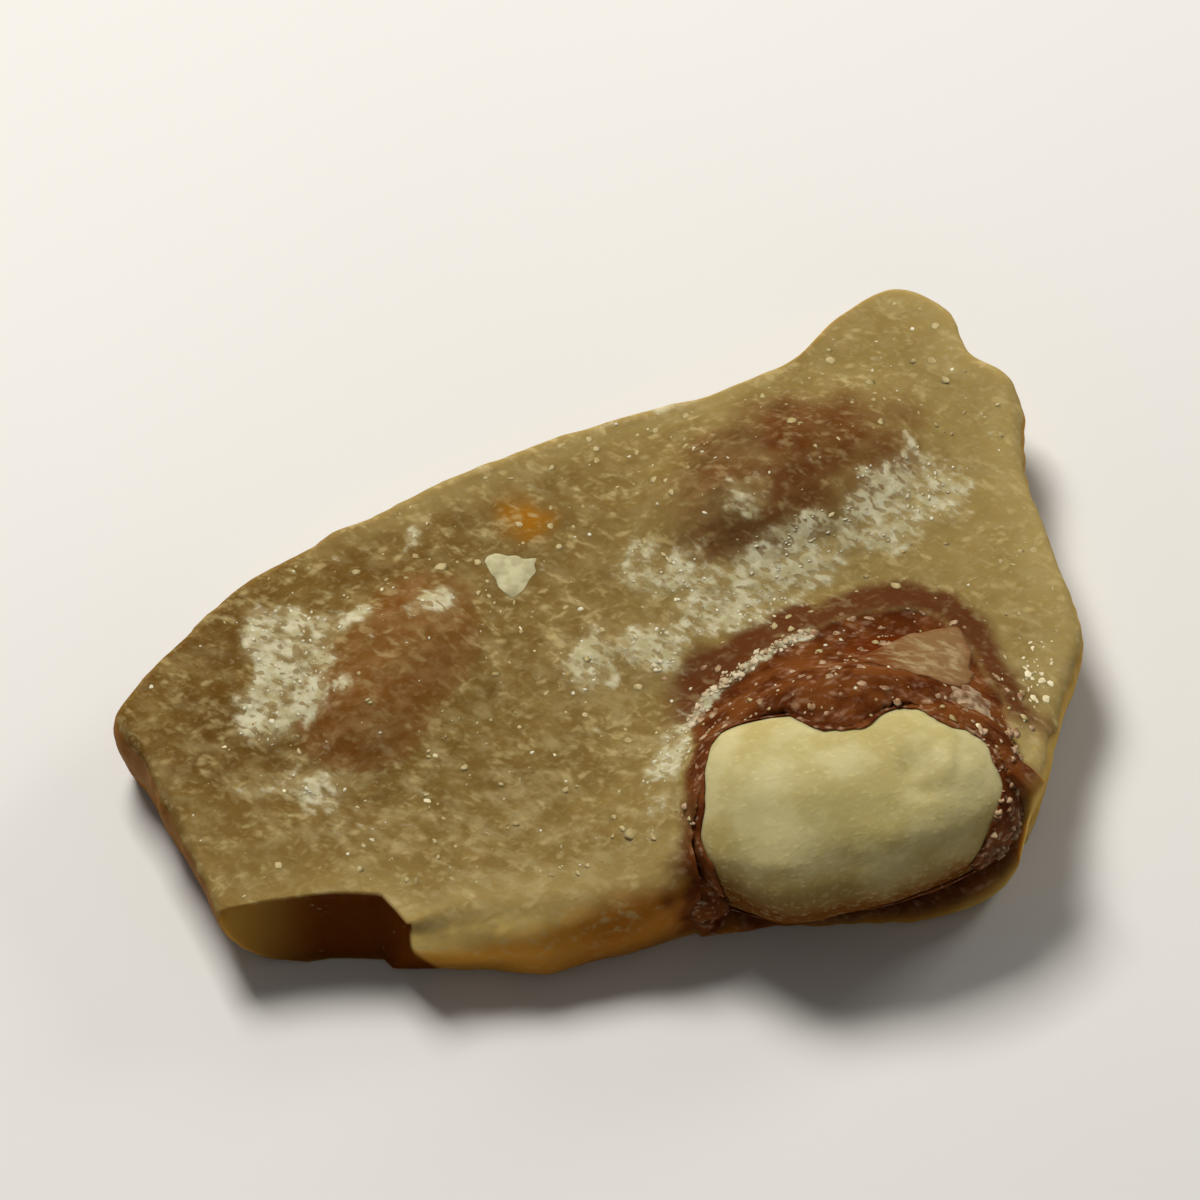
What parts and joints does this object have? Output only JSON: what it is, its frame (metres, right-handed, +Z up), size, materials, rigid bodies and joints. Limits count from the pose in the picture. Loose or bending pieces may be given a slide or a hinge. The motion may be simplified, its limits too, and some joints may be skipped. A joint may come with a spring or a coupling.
{
  "type": "peanut brittle piece",
  "caption": "Broken slab of sugar-dusted peanut brittle lying flat, with a bare peanut kernel in torn red skin at one corner and more kernels set in the candy.",
  "frame": {"origin": "under the middle of the slab's outline, on the flat underside that it rests on", "axes": "+Z up out of the dusted face, +X along the slab's length with the bare kernel at the +X end, +Y towards the back edge, so that the bare kernel faces -Y"},
  "size_m": [0.0475, 0.039, 0.0101],
  "materials": {
    "candy": "hard amber sugar candy, dulled by fine sugar and peanut dust",
    "kernel": "roasted peanut kernel without its skin, cream, smooth and slightly waxy",
    "skin": "red-brown papery peanut skin with a little sugar on it"
  },
  "bodies": {
    "root": {"candy": "candy", "peanut_front": "kernel", "skin_front": "skin", "peanut_left": "skin", "peanut_back": "skin"}
  },
  "joints": []
}
